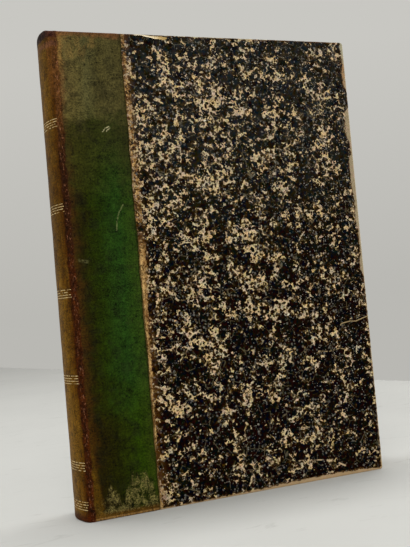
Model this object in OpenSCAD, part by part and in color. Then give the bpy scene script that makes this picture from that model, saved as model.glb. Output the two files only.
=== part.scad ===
// Antique quarter leather book, standing upright on its tail edge.
// +Z runs from tail to head, -Y is the front cover's side and -X is the spine.
// The origin is the middle of the footprint, at the tail edge.

/* [Book] */
// Height of the boards, tail to head
height = 270; // [180:1:340]
// Width of a cover, from the joint to the fore-edge
cover_w = 183.5; // [120:0.5:240]
// Thickness of the closed book over both covers
thickness = 30; // [24:0.5:45]
// How far the covers stand past the leaves at head, tail and fore-edge
square_w = 3; // [2.5:0.5:5]

/* [Boards] */
// Thickness of a board
board_t = 2.6; // [1.8:0.1:3.5]
// Radius of a board's rubbed corners at the fore-edge
corner_r = 2; // [1:0.25:6]
// Distance from the joint line to the board's spine edge
joint_gap = 1.2; // [0.8:0.1:2.5]
// Depth of the leather and paper turned in over a board's inner face
turn_in = 15; // [8:1:25]

/* [Leather] */
// Thickness of the leather
leather_t = 0.7; // [0.6:0.05:1]
// Thickness of leather or paper where it is turned in
turn_t = 0.4; // [0.25:0.05:0.5]
// Width of the leather that shows on a cover, from the joint
strip_w = 37.5; // [20:0.5:60]
// Length of the pared bevel before the paper's edge
pare_before = 3; // [2:0.5:6]
// Length of the pared bevel under the paper
pare_under = 2; // [1:0.5:4]

/* [Paper] */
// Thickness of the marbled paper on the boards
side_paper_t = 0.3; // [0.15:0.05:0.4]
// Thickness of a pastedown
pastedown_t = 0.2; // [0.15:0.05:0.4]
// Margin of turn-in left showing round a pastedown
pastedown_margin = 4; // [2:0.5:8]
// Thickness of a free endleaf
flyleaf_t = 0.3; // [0.15:0.05:0.5]
// Depth of the hollow in the leaves' fore-edge
fore_hollow = 4; // [1:0.5:5]

/* [Spine] */
// How far the spine stands out past the joints
spine_bulge = 7; // [6:0.25:10]
// Radius of the spine's shoulders
shoulder_r = 3; // [2:0.25:3.5]
// Width of the flat leather between shoulder and joint
shoulder_flat = 0.8; // [0.4:0.1:1.2]
// Radius of the headcap and tailcap
cap_r = 2; // [1.5:0.1:2.4]
// Depth of the leather turned in over the stiffener
cap_turn = 15; // [8:1:25]
// How far a cap reaches over its headband
cap_reach = 0.8; // [0.2:0.1:1.2]
// Thickness of the card stiffener
stiffener_t = 0.8; // [0.4:0.1:1]
// Depth of the hollow between stiffener and lining
hollow_t = 0.7; // [0.6:0.1:1.2]
// Thickness of the lining glued to the leaves' back
lining_t = 0.4; // [0.2:0.1:0.5]
// Distance from the lining's ends to the leaves' ends
lining_inset = 2; // [0:0.5:5]

/* [Sewing] */
// Number of sunken sewing cords
cord_count = 5; // [3:1:6]
// Diameter of a sewing cord
cord_d = 1.6; // [1:0.1:2]
// Distance from the end cords to the leaves' ends
cord_inset = 42; // [25:1:55]
// Thickness of a headband
headband_d = 2; // [1.2:0.1:2.2]
// Distance from a headband's ends to the leaves' outer faces
headband_inset = 0.6; // [0.2:0.1:2]

/* [Gilding] */
// Number of gilt fillet groups above the one at the tail
group_count = 5; // [3:1:6]
// Height of the lowest of those groups
group_first = 30; // [24:1:40]
// Distance from the highest of those groups to the head
group_top = 51.2; // [30:0.2:60]
// Height of the group at the tail
tail_group = 8.8; // [6:0.2:14]
// Number of lines in a group
line_count = 4; // [2:1:5]
// Width of a gilt line
line_w = 0.45; // [0.3:0.05:0.6]
// Spacing of the lines in a group
line_pitch = 1.4; // [1:0.1:2]
// Depth of a tooled line
line_depth = 0.12; // [0.05:0.01:0.2]
// Distance from the lines' ends to the shoulders
line_inset = 1; // [0:0.25:3]

/* [Clearances] */
// Gap on each side of the joint line
joint_clear = 0.2; // [0.15:0.05:0.4]
// Gap between a closed cover and the leaves
cover_clear = 0.3; // [0.2:0.05:0.6]
// Gap round a cord in its sawn kerf
kerf_clear = 0.1; // [0.05:0.05:0.3]

/* [Hidden] */
FIXED = [
    "text_block", "front_flyleaf", "back_flyleaf",
    "front_board", "back_board", "front_pastedown", "back_pastedown",
    "front_leather", "back_leather", "front_side_paper", "back_side_paper",
    "spine_leather", "spine_stiffener", "spine_lining", "spine_gilding",
    "headband", "tailband"
];
$fn = 96;

// Colours
green_leather = "#27401c";
spine_brown = "#6a4a18";
marbled = "#4a3f30";
grey_board = "#8c8270";
endleaf = "#d8c8a4";
leaves = "#cbb78c";
card = "#a08a60";
linen = "#b9ab8a";
gold = "#c8a24a";
silk = "#8a3a2a";
hemp = "#b59a6a";

// Faces of a cover, as depths under its outer face
board_out = leather_t;
board_in = board_out + board_t;
turn_face = board_in + turn_t;
cover_t = turn_face + pastedown_t;
paper_out = leather_t - side_paper_t;
half_t = thickness / 2;

// Pared edge of the leather, under the paper's edge
pare_from = strip_w - pare_before;
pare_to = strip_w + pare_under;
pare_depth = leather_t * pare_before / (pare_before + pare_under);

// Leaves
leaf_w = cover_w - square_w;
leaf_h = height - 2 * square_w;
endleaf_half = half_t - cover_t - cover_clear;
leaves_half = endleaf_half - flyleaf_t;
fore_r = (endleaf_half * endleaf_half + fore_hollow * fore_hollow) / (2 * fore_hollow);

// Outer face of the spine: one arc that runs into a rounded shoulder on each side
shoulder_y = half_t - shoulder_r;
rise = spine_bulge - shoulder_flat;
back_r = (shoulder_y * shoulder_y + rise * rise - shoulder_r * shoulder_r) / (2 * (rise - shoulder_r));
back_x = back_r - spine_bulge;
shoulder_a = asin(shoulder_y / (back_r - shoulder_r));
stiffener_r = back_r - leather_t;
turn_r = stiffener_r - stiffener_t;

// Back of the leaves: one arc from shoulder tip to shoulder tip
tip_y = half_t - leather_t;
fold_rise = spine_bulge - leather_t - stiffener_t - hollow_t - lining_t - joint_clear;
fold_r = (tip_y * tip_y + fold_rise * fold_rise) / (2 * fold_rise);
fold_x = fold_r - fold_rise - joint_clear;
fold_a = asin(tip_y / fold_r);
cord_pitch = (leaf_h - 2 * cord_inset) / (cord_count - 1);
kerf_h = cord_d + 2 * kerf_clear;
headband_a = asin((leaves_half - headband_inset) / fold_r);
line_a = asin((shoulder_y - line_inset) / back_r);
group_h = (line_count - 1) * line_pitch + line_w;
group_pitch = (height - group_top - group_first) / (group_count - 1);

// Footprint centred on the origin
joint_x = (spine_bulge - cover_w) / 2;
beyond = thickness;

// Upright slab between two depths under the front cover's outer face, outline in X and Z
module slab(from, to) {
    translate([0, to - half_t, 0])
        rotate([90, 0, 0])
            linear_extrude(to - from)
                children();
}

// Upright piece between two heights, outline in X and Y
module pillar(low, high) {
    translate([0, 0, low])
        linear_extrude(high - low)
            children();
}

// Plain outline from one corner to the other
module patch(low, high) {
    translate(low)
        square(high - low);
}

// Outline with both corners rounded at its high X side
module worn_patch(low, high, r) {
    patch(low, [high.x - r, high.y]);
    patch([high.x - 2 * r, low.y + r], [high.x, high.y - r]);
    for (z = [low.y + r, high.y - r])
        translate([high.x - r, z])
            circle(r);
}

// Part turned round a centre on the book's midline, reaching the same angle each way
module bowed(centre_x, half_angle) {
    translate([centre_x, 0, 0])
        rotate([0, 0, 180 - half_angle])
            rotate_extrude(angle = 2 * half_angle)
                children();
}

// The children at the front, or mirrored to the back
module at_side(back) {
    translate([joint_x, 0, 0])
        mirror([0, back ? 1 : 0, 0])
            children();
}

// Inner area of a board that the turn-ins leave bare
module bare_area(from_x) {
    patch([from_x, turn_in], [cover_w - turn_in, height - turn_in]);
}

// Leaves seen from the head
module leaves_plan() {
    difference() {
        union() {
            patch([-joint_clear, -leaves_half], [leaf_w, leaves_half]);
            intersection() {
                translate([fold_x, 0])
                    circle(fold_r);
                patch([-spine_bulge, -tip_y], [-joint_clear, tip_y]);
            }
        }
        translate([leaf_w - fore_hollow + fore_r, 0])
            circle(fore_r);
    }
}

module text_block() {
    color(leaves)
        translate([joint_x, 0, 0])
            difference() {
                pillar(square_w, square_w + leaf_h)
                    leaves_plan();
                for (i = [1 : cord_count])
                    bowed(fold_x, fold_a)
                        translate([fold_r - cord_d - kerf_clear, cord_z(i) - kerf_h / 2])
                            square([kerf_h, kerf_h]);
            }
}

// Height of a sewing cord's middle
function cord_z(i) = square_w + cord_inset + (i - 1) * cord_pitch;

module flyleaf(back) {
    color(endleaf)
        at_side(back)
            slab(half_t - endleaf_half, half_t - leaves_half)
                patch([-joint_clear, square_w], [leaf_w, square_w + leaf_h]);
}

module board(back) {
    color(grey_board)
        at_side(back)
            slab(board_out, board_in) {
                patch([joint_gap, leather_t], [strip_w + 1, height - leather_t]);
                worn_patch(
                    [strip_w, side_paper_t],
                    [cover_w - side_paper_t, height - side_paper_t],
                    corner_r - side_paper_t
                );
            }
}

module pastedown(back) {
    margin = pastedown_margin;
    color(endleaf)
        at_side(back) {
            slab(turn_face, cover_t)
                patch([joint_gap, margin], [cover_w - margin, height - margin]);
            slab(board_in, cover_t)
                bare_area(joint_gap);
        }
}

// Pared tongue of the leather that lies under the paper's edge
module tongue() {
    translate([0, -half_t])
        polygon([[pare_from, 0], [pare_to, leather_t], [pare_from, leather_t]]);
}

module cover_leather(back) {
    color(green_leather)
        at_side(back)
            difference() {
                union() {
                    pillar(0, height)
                        translate([0, -half_t])
                            polygon([
                                [joint_clear, 0],
                                [pare_from, 0],
                                [strip_w, pare_depth],
                                [strip_w, turn_face],
                                [joint_clear, turn_face]
                            ]);
                    pillar(side_paper_t, height - side_paper_t)
                        tongue();
                }
                slab(board_out, board_in)
                    patch([-1, leather_t], [strip_w + 1, height - leather_t]);
                slab(board_out, beyond)
                    bare_area(-1);
                slab(board_out, beyond)
                    patch([-1, -1], [joint_gap, height + 1]);
            }
}

module side_paper(back) {
    color(marbled)
        at_side(back)
            difference() {
                union() {
                    slab(paper_out, turn_face)
                        worn_patch([strip_w, 0], [cover_w, height], corner_r);
                    pillar(0, height)
                        translate([0, -half_t])
                            polygon([
                                [strip_w, pare_depth - side_paper_t],
                                [pare_to, paper_out],
                                [pare_to, leather_t],
                                [strip_w, leather_t]
                            ]);
                }
                slab(board_out, board_in)
                    worn_patch(
                        [strip_w - 1, side_paper_t],
                        [cover_w - side_paper_t, height - side_paper_t],
                        corner_r - side_paper_t
                    );
                slab(board_out, beyond)
                    bare_area(0);
                pillar(side_paper_t, height - side_paper_t)
                    tongue();
            }
}

// Outline of the spine from the head, at an inset from the leather's outer face. It is open past
// the arc, and it ends at a given X on the joint's side.
module spine_plan(inset, end_x = -joint_clear) {
    wedge = spine_bulge + back_x;
    intersection() {
        patch([-wedge, inset - half_t], [end_x, half_t - inset]);
        union() {
            for (y = [-shoulder_y, shoulder_y])
                translate([-shoulder_flat, y])
                    circle(shoulder_r - inset);
            patch([-shoulder_flat, inset - half_t], [end_x, half_t - inset]);
            translate([back_x, 0])
                polygon([
                    [0, 0],
                    [-wedge, wedge * tan(shoulder_a)],
                    [-wedge, -wedge * tan(shoulder_a)]
                ]);
        }
    }
}

// Solid spine at an inset from the leather's outer face, with its ends rounded
module spine_form(inset, end_x = -joint_clear) {
    intersection() {
        pillar(inset, height - inset)
            spine_plan(inset, end_x);
        bowed(back_x, 90)
            worn_patch([0, inset], [back_r - inset, height - inset], cap_r - inset);
    }
}

module spine_leather() {
    cap_depth = leather_t + stiffener_t + turn_t + cap_reach;
    color(spine_brown)
        translate([joint_x, 0, 0]) {
            difference() {
                spine_form(0);
                spine_form(leather_t, joint_clear);
                pillar(-1, height + 1)
                    translate([back_x, 0])
                        circle(back_r - cap_depth);
                gilt_lines(line_depth + 1);
            }
            for (low = [leather_t / 2, height - leather_t / 2 - cap_turn])
                bowed(back_x, shoulder_a)
                    patch([turn_r - turn_t, low], [turn_r, low + cap_turn]);
        }
}

// Bands along the tooled lines, from the bottom of the tooling outwards
module gilt_lines(depth) {
    groups = concat([tail_group], [for (i = [0 : group_count - 1]) group_first + i * group_pitch]);
    for (z = groups)
        for (k = [0 : line_count - 1])
            bowed(back_x, line_a)
                translate([back_r - line_depth, z - group_h / 2 + k * line_pitch])
                    square([depth, line_w]);
}

module spine_gilding() {
    color(gold)
        translate([joint_x, 0, 0])
            gilt_lines(line_depth);
}

module spine_stiffener() {
    color(card)
        translate([joint_x, 0, 0])
            bowed(back_x, shoulder_a)
                patch([turn_r, cap_r], [stiffener_r, height - cap_r]);
}

module spine_lining() {
    low = square_w + lining_inset;
    color(linen)
        translate([joint_x, 0, 0])
            difference() {
                pillar(low, height - low)
                    intersection() {
                        translate([fold_x, 0])
                            circle(fold_r + lining_t);
                        spine_plan(leather_t);
                    }
                pillar(0, height)
                    translate([fold_x, 0])
                        circle(fold_r);
            }
}

// Headband standing on the leaves' end, flat below and round on top
module band() {
    bowed(fold_x, headband_a) {
        translate([fold_r - headband_d, 0])
            square([headband_d, headband_d / 2]);
        translate([fold_r - headband_d / 2, headband_d / 2])
            circle(headband_d / 2);
    }
}

module headband() {
    color(silk)
        translate([joint_x, 0, height - square_w])
            band();
}

module tailband() {
    color(silk)
        translate([joint_x, 0, square_w])
            mirror([0, 0, 1])
                band();
}

// Sewing cord laid in its kerf, flush with the leaves' back
module cord_ring(i) {
    bowed(fold_x, fold_a)
        translate([fold_r - cord_d / 2, cord_z(i)])
            circle(cord_d / 2);
}

module sewing_cord(i) {
    color(hemp)
        translate([joint_x, 0, 0])
            intersection() {
                cord_ring(i);
                pillar(0, height)
                    spine_plan(leather_t);
            }
}

text_block();
flyleaf(false);  // front_flyleaf
flyleaf(true);  // back_flyleaf
board(false);  // front_board
board(true);  // back_board
pastedown(false);  // front_pastedown
pastedown(true);  // back_pastedown
cover_leather(false);  // front_leather
cover_leather(true);  // back_leather
side_paper(false);  // front_side_paper
side_paper(true);  // back_side_paper
spine_leather();
spine_stiffener();
spine_lining();
spine_gilding();
headband();
tailband();
for (i = [1 : cord_count])
    sewing_cord(i);
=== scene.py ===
"""Antique quarter leather book with marbled sides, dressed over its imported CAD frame.

The book stands on its tail edge. +Z runs from tail to head, -Y is the front cover's side and
-X is the spine. Lengths in the code are millimetres from the joint line, unless a name says
otherwise, and they become metres when a mesh is made.
"""

import math

import bpy
import numpy as np
from mathutils import Matrix, Vector


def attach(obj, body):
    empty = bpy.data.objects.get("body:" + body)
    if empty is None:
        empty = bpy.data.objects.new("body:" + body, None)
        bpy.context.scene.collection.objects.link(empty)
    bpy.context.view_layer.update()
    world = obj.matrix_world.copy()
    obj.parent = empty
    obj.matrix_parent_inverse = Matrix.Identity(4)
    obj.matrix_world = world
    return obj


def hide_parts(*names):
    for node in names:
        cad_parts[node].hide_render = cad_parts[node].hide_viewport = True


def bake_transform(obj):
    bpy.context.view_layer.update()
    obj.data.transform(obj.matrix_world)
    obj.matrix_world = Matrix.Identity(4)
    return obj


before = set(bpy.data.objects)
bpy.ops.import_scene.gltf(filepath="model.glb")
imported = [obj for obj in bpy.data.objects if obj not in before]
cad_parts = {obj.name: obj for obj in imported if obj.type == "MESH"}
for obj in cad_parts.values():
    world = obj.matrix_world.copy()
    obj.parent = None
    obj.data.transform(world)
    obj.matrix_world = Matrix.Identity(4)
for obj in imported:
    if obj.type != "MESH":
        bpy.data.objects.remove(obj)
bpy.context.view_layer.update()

# Lengths of the CAD source, in millimetres
MM = 0.001
HEIGHT = 270.0
COVER_W = 183.5
HALF_T = 15.0
JOINT_X = -88.25
STRIP_W = 37.5
PARE_FROM = 34.5
PARE_TO = 39.5
PARE_DEPTH = 0.42
LEATHER_T = 0.7
BOARD_IN = 3.3
TURN_FACE = 3.7
TURN_IN = 15.0
PAPER_T = 0.3
PAPER_OUT = 0.4
CORNER_R = 2.0
SPINE_BULGE = 7.0
SHOULDER_R = 3.0
SHOULDER_Y = 12.0
SHOULDER_X = -0.8
SQUARE = 3.0
LEAF_W = 180.5
LEAF_TOP = HEIGHT - SQUARE
ENDLEAF_HALF = 10.8
LEAVES_HALF = 10.5
FORE_HOLLOW = 4.0
TIP_Y = 14.3
FOLD_RISE = 4.2
CAP_RISE = 1.9
GROUPS = [8.8, 30.0, 77.2, 124.4, 171.6, 218.8]
LINE_COUNT = 4
LINE_PITCH = 1.4
LINE_W = 0.45

# Radii that follow from those lengths
SPINE_RISE = SPINE_BULGE + SHOULDER_X
BACK_R = (SHOULDER_Y ** 2 + SPINE_RISE ** 2 - SHOULDER_R ** 2) / (2 * (SPINE_RISE - SHOULDER_R))
BACK_X = BACK_R - SPINE_BULGE
SHOULDER_A = math.asin(SHOULDER_Y / (BACK_R - SHOULDER_R))
FORE_R = (ENDLEAF_HALF ** 2 + FORE_HOLLOW ** 2) / (2 * FORE_HOLLOW)
FOLD_R = (TIP_Y ** 2 + FOLD_RISE ** 2) / (2 * FOLD_RISE)
FOLD_X = FOLD_R - FOLD_RISE - 0.2
GROUP_H = (LINE_COUNT - 1) * LINE_PITCH + LINE_W
ARC_LEN = BACK_R * SHOULDER_A
JOINT_U = ARC_LEN + SHOULDER_R * (math.pi / 2 - SHOULDER_A) - SHOULDER_X
LINE_REACH = JOINT_U - 2.5

# Rows of the skin's fold at each end, steps of the paper round a corner, narrowest gilding kept
FOLD_ROWS = 11
CORNER_STEPS = 6
THINNEST_GILT = 0.04

# Width of the border that is rubbed to the card, at heights or places along the edge
FRONT_FORE_WEAR = [
    (0, 1.2), (14, 0.5), (121, 0.5), (125, 2.4), (131, 2.3), (135, 1.3), (149, 1.5), (155, 2.3),
    (170, 2.3), (181, 3.0), (190, 3.3), (196, 2.6), (199, 1.2), (204, 1.3), (207, 2.2), (210, 3.4),
    (222, 3.3), (226, 2.6), (227.5, 0.4), (238, 0.3), (242, 1.8), (250, 2.6), (256, 1.6), (270, 2.4)]
BACK_FORE_WEAR = [
    (0, 1.6), (20, 0.5), (84, 0.6), (90, 1.9), (112, 1.6), (130, 0.5), (172, 0.7), (178, 2.3),
    (196, 1.8), (215, 0.6), (250, 0.6), (270, 1.8)]
TAIL_WEAR = [(37, 0.5), (90, 0.9), (118, 1.9), (150, 2.5), (168, 2.0), (176, 1.2), (184, 0.9)]
HEAD_WEAR = 0.12
CORNER_WEAR = 2.6

# Black drops of the marbling: spacing, least radius, spread and growth, as shares of the spacing
DROPS = [(5.5, 0.0, 0.3, 0.8), (3.2, 0.1, 0.35, 0.52), (2.3, 0.22, 0.3, 0.15), (1.6, 0.14, 0.36, 0.1)]

# Widest that the mottled border beside the leather gets, before its shares
FRINGE_W = 5.6

# Lifted flake on the front: where it starts, its length, thickness and how far it stands off
FLAKE_FROM = 45.6
FLAKE_LENGTH = 20
FLAKE_T = 0.09
FLAKE_LIFT = 0.75

# Camera, in metres
CAMERA_AT = (-0.17287, -0.43777, 0.11332)
CAMERA_FORWARD = (0.3555, 0.9340, 0.0363)
CAMERA_UP = (0.0693, -0.0651, 0.9955)
CAMERA_LENS = 51.29

# Floor, in metres: its far edge is the level change behind the book
FLOOR_EDGE = [(3.0, 0.28), (0.381, 0.291), (0.0145, 1.5), (-3.0, 1.62)]
FLOOR_REACH = 3.0

# Soft lights, in metres and watts: name, place, target, width and height, power
LIGHTS = [
    ("key_light", (-0.7, -1.4, 1.2), (0, 0, 0.13), (1.2, 1.2), 18),
    ("top_light", (0.0, 0.14, 1.5), (0, 0.14, 0), (1.0, 0.3), 15),
    ("fill_light", (1.4, -1.1, 0.8), (0, 0, 0.13), (1.2, 1.2), 7)]


def link(name, data):
    """New object in the scene with a mesh, light or camera."""
    made = bpy.data.objects.new(name, data)
    bpy.context.scene.collection.objects.link(made)
    return made


def add_camera():
    """Camera at the photograph's place and angle."""
    data = bpy.data.cameras.new("camera")
    data.sensor_width = 36
    data.lens = CAMERA_LENS
    data.clip_start = 0.01
    camera = link("camera", data)
    forward = Vector(CAMERA_FORWARD).normalized()
    right = forward.cross(Vector(CAMERA_UP)).normalized()
    turned = Matrix((right, right.cross(forward), -forward)).transposed().to_4x4()
    camera.matrix_world = Matrix.Translation(CAMERA_AT) @ turned
    bpy.context.scene.camera = camera


# Material helpers

def linear(colour):
    """Linear colour, with alpha, of a hex colour."""
    parts = [int(colour[i:i + 2], 16) / 255 for i in (1, 3, 5)]
    lit = [c / 12.92 if c <= 0.04045 else ((c + 0.055) / 1.055) ** 2.4 for c in parts]
    return (*lit, 1.0)


class Field:
    """A value, vector or colour of a material. Arithmetic with it adds nodes to its tree."""

    def __init__(self, socket):
        self.socket = socket

    def __add__(self, other):
        return calculate("ADD", self, other)

    def __sub__(self, other):
        return calculate("SUBTRACT", self, other)

    def __rsub__(self, other):
        return calculate("SUBTRACT", other, self)

    def __mul__(self, other):
        return calculate("MULTIPLY", self, other)

    __radd__ = __add__
    __rmul__ = __mul__


def put(socket, value):
    """Links a field to a socket, or sets it to a number, a vector or a hex colour."""
    if isinstance(value, Field):
        socket.id_data.links.new(value.socket, socket)
    else:
        socket.default_value = linear(value) if isinstance(value, str) else value


def node(kind, inputs, output=0, tree=None, **settings):
    """Output of a new node, which goes into the tree of its first field unless one is given."""
    tree = tree or next(v.socket.id_data for v in inputs.values() if isinstance(v, Field))
    made = tree.nodes.new(kind)
    for name, value in settings.items():
        setattr(made, name, value)
    for socket, value in inputs.items():
        put(made.inputs[socket], value)
    return Field(made.outputs[output])


def calculate(operation, a, b=0.0):
    return node("ShaderNodeMath", {0: a, 1: b}, operation=operation)


def most(a, b):
    return calculate("MAXIMUM", a, b)


def least(a, b):
    return calculate("MINIMUM", a, b)


def sine(value, length):
    """Sine wave of a length along a value."""
    return calculate("SINE", value * (2 * math.pi / length))


def swing(value, size):
    """A 0 to 1 value turned into plus and minus size."""
    return (value - 0.5) * (2 * size)


def band(value, low, high):
    """0 at low and 1 at high, with a smooth step between."""
    inputs = {"Value": value, "From Min": low, "From Max": high}
    return node("ShaderNodeMapRange", inputs, interpolation_type="SMOOTHSTEP")


def below(value, low, high):
    """1 below low and 0 above high."""
    return 1.0 - band(value, low, high)


def near(value, centre, inner, outer):
    """1 within inner of the centre and 0 beyond outer."""
    return below(calculate("ABSOLUTE", value - centre), inner, outer)


def mix(share, under, over, blend="MIX"):
    return node("ShaderNodeMix", {0: share, 6: under, 7: over}, 2, data_type="RGBA", blend_type=blend)


def layers(colour, rows):
    """Colour with tones laid over it in turn, each by its share."""
    for share, tone in rows:
        colour = mix(share, colour, tone)
    return colour


def ramp(value, low, high, stops):
    """Colours or grey levels at places between low and high."""
    share = node("ShaderNodeMapRange", {"Value": value, "From Min": low, "From Max": high})
    made = node("ShaderNodeValToRGB", {0: share})
    points = made.socket.node.color_ramp.elements
    while len(points) < len(stops):
        points.new(1.0)
    for point, (place, colour) in zip(points, stops):
        point.position = (place - low) / (high - low)
        point.color = linear(colour) if isinstance(colour, str) else (colour,) * 3 + (1,)
    return made


def vector(x, y, z=0.0):
    return node("ShaderNodeCombineXYZ", {0: x, 1: y, 2: z})


def split(whole):
    """Three parts of a vector or colour."""
    made = node("ShaderNodeSeparateXYZ", {0: whole}).socket.node
    return [Field(output) for output in made.outputs]


def shift(at, amount):
    return node("ShaderNodeVectorMath", {0: at, 1: amount}, operation="ADD")


def scale(at, amount):
    return node("ShaderNodeVectorMath", {0: at, 1: amount}, operation="MULTIPLY")


def noise(at, size, detail=2.0, rough=0.5, bent=0.0, output=0):
    """Noise with blots of about a size in millimetres."""
    inputs = {"Vector": at, "Scale": 1 / size, "Detail": detail, "Roughness": rough,
              "Distortion": bent}
    return node("ShaderNodeTexNoise", inputs, output)


def spread(at, size, reach, rough=0.6):
    """Three noises at once, each up to about reach above or below 0."""
    colour = noise(at, size, 2.0, rough, output=1)
    return scale(shift(colour, (-0.5,) * 3), (2 * reach,) * 3)


def noise_vector(at, size, reach):
    """Place moved by up to about reach millimetres."""
    return shift(at, spread(at, size, reach, 0.5))


def cells(at, size, feature="F1", output=0):
    return node("ShaderNodeTexVoronoi", {"Vector": at, "Scale": 1 / size}, output, feature=feature)


def strokes(x, z, points, width):
    """1 along a bent line through several places, with soft edges."""
    total = 0.0
    for start, end in zip(points, points[1:]):
        run, rise = end[0] - start[0], end[1] - start[1]
        length = math.hypot(run, rise)
        dx, dz = x - start[0], z - start[1]
        along = dx * (run / length) + dz * (rise / length)
        off = dz * (run / length) - dx * (rise / length)
        inside = near(along, length / 2, length / 2, length / 2 + width)
        total = most(total, inside * near(off, 0, width * 0.2, width))
    return total


class Look:
    """A material in the making, with the places that its patterns start from."""

    def __init__(self, name, **shader):
        self.material = bpy.data.materials.new(name)
        self.material.use_nodes = True
        self.tree = self.material.node_tree
        self.shader = self.tree.nodes["Principled BSDF"]
        for socket, value in shader.items():
            put(self.shader.inputs[socket.replace("_", " ")], value)

    def kept(self, name, output="Fac"):
        """A number or vector kept on the mesh."""
        return node("ShaderNodeAttribute", {}, output, self.tree, attribute_name=name)

    def object_place(self):
        """Place on a rigid piece, in millimetres from the joint line."""
        at = node("ShaderNodeTexCoord", {}, "Object", self.tree)
        return shift(scale(at, (1 / MM,) * 3), (-JOINT_X, 0, 0))

    def finish(self, colour, roughness, height, depth):
        """Material with a colour, a roughness and a bump of a depth in millimetres."""
        bump = node("ShaderNodeBump", {"Height": height, "Distance": depth * MM, "Strength": 1.0})
        for name, value in (("Base Color", colour), ("Roughness", roughness), ("Normal", bump)):
            put(self.shader.inputs[name], value)
        return self.material


# Mesh helpers

def make_piece(name, points, faces, sharp=50, rest=None, margin=None):
    """Mesh object from points in millimetres from the joint line."""
    placed = (np.asarray(points, float) + (JOINT_X, 0, 0)) * MM
    mesh = bpy.data.meshes.new(name)
    mesh.from_pydata(placed.tolist(), [], faces)
    mesh.shade_smooth()
    mesh.set_sharp_from_angle(angle=math.radians(sharp))
    for kept, kind, part, values in (("rest", "FLOAT_VECTOR", "vector", rest),
                                     ("margin", "FLOAT", "value", margin)):
        if values is not None:
            stored = mesh.attributes.new(kept, kind, "POINT")
            stored.data.foreach_set(part, np.asarray(values, np.float32).ravel())
    return link(name, mesh)


def grid_faces(columns, rows, start=0, flip=False):
    """Faces of a grid whose points run down each column in turn."""
    faces = []
    for i in range(columns - 1):
        for j in range(rows - 1):
            a = start + i * rows + j
            face = (a, a + rows, a + rows + 1, a + 1)
            faces.append(face[::-1] if flip else face)
    return faces


def strip_faces(first, second, flip=False):
    """Faces between two chains of points, without faces of no size."""
    faces = []
    for i in range(len(first) - 1):
        ring = [first[i], first[i + 1], second[i + 1], second[i]]
        face = [p for k, p in enumerate(ring) if p != ring[k - 1]]
        if len(face) > 2:
            faces.append(tuple(face[::-1]) if flip else tuple(face))
    return faces


def tube_faces(first, second, flip=False):
    """Faces between two rings of points."""
    return strip_faces([*first, first[0]], [*second, second[0]], flip)


def sheet_faces(columns, rows, flip):
    """Faces of two grids, one after the other in the points, closed round their edges."""
    size = columns * rows
    faces = grid_faces(columns, rows, 0, flip) + grid_faces(columns, rows, size, not flip)
    index = np.arange(size).reshape(columns, rows)
    edges = ((index[0], True), (index[-1], False), (index[:, 0], False), (index[:, -1], True))
    for chain, turn in edges:
        faces += strip_faces(list(chain), list(chain + size), turn != flip)
    return faces


def wobble(u, v, seed, shortest, longest):
    """Smooth unevenness of about plus and minus 1, the same in each run."""
    rng = np.random.default_rng(seed)
    total = np.zeros(np.broadcast(u, v).shape)
    waves = 7
    for _ in range(waves):
        length = rng.uniform(shortest, longest)
        turn, phase = rng.uniform(0, 2 * math.pi, 2)
        total += np.sin(2 * math.pi * (u * math.cos(turn) + v * math.sin(turn)) / length + phase)
    return total / math.sqrt(waves)


def ease(value, low, high):
    t = np.clip((value - low) / (high - low), 0, 1)
    return t * t * (3 - 2 * t)


# Leather: one skin for each cover, from the spine's middle to under the paper

def leather_columns():
    """Columns of the skin: place at the outer face, outward direction and unrolled distance."""
    rows = []
    for u in [0, 0.3, *np.linspace(1, ARC_LEN, 15)]:
        a = u / BACK_R
        rows.append((BACK_X - BACK_R * math.cos(a), -BACK_R * math.sin(a), a, u))
    for a in np.linspace(SHOULDER_A, math.pi / 2, 9)[1:]:
        u = ARC_LEN + SHOULDER_R * (a - SHOULDER_A)
        x = SHOULDER_X - SHOULDER_R * math.cos(a)
        rows.append((x, -SHOULDER_Y - SHOULDER_R * math.sin(a), a, u))
    flat = [-0.5, -0.25, 0, 0.25, 0.5, 0.75, 1.0, 1.15, 1.25, 1.5, 1.9, 2.4, 3, 3.8, 4.8]
    flat += list(np.arange(6, 34, 1.5)) + [34.5, 35.2, 36, 36.8, 37.4, 37.6, 38.4, 39.3]
    for x in flat:
        rows.append((x, -HALF_T, math.pi / 2, JOINT_U + x))
    return np.array(rows)


def fold_depths(u):
    """Depth of the turned in leather at its end and at the cap, along the skin."""
    x = u - JOINT_U
    at = [-99, -3.95, -2.4, -0.8, -0.5, -0.25, 1.16, 1.24, 37.5, 37.6]
    end = [1.9, 1.9, 1.85, 1.5, 1.0, 0.75, 0.75, TURN_FACE, TURN_FACE, 3.38]
    cap = [2.45, 2.25, 1.9, 1.5, 1.0, 0.75, 0.75, TURN_FACE, TURN_FACE, 3.38]
    return np.interp(x, at, end), np.interp(x, at, cap)


def cap_rise(u):
    """Height of the moulded cap over the head of the spine, at a distance from its middle."""
    return CAP_RISE * (1 - ease(u, 8.5, JOINT_U - 1.2))


def fold_path(end, cap, face, low, r_in, r_out, rise=0.0):
    """Height and depth of the leather where it folds over an edge, from its inner end."""
    r_in = min(r_in, 0.45 * (cap - face))
    r_out = min(r_out, 0.45 * (cap - face))
    low = low - rise
    tall = r_out + 1.2 * rise
    path = [(15, end), (10, end), (5.2, end), (4.4, (end + cap) / 2), (3.4, cap), (2.4, cap)]
    for a in np.linspace(0, math.pi / 2, 5):
        path.append((low + r_in - r_in * math.sin(a), cap - r_in + r_in * math.cos(a)))
    for a in np.linspace(0, math.pi / 2, 6):
        path.append((low + tall - tall * math.cos(a), face + r_out - r_out * math.sin(a)))
    return path


def line_starts():
    """Lower edges of the tooled lines."""
    lows = [z - GROUP_H / 2 for z in GROUPS]
    return [low + k * LINE_PITCH for low in lows for k in range(LINE_COUNT)]


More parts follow.
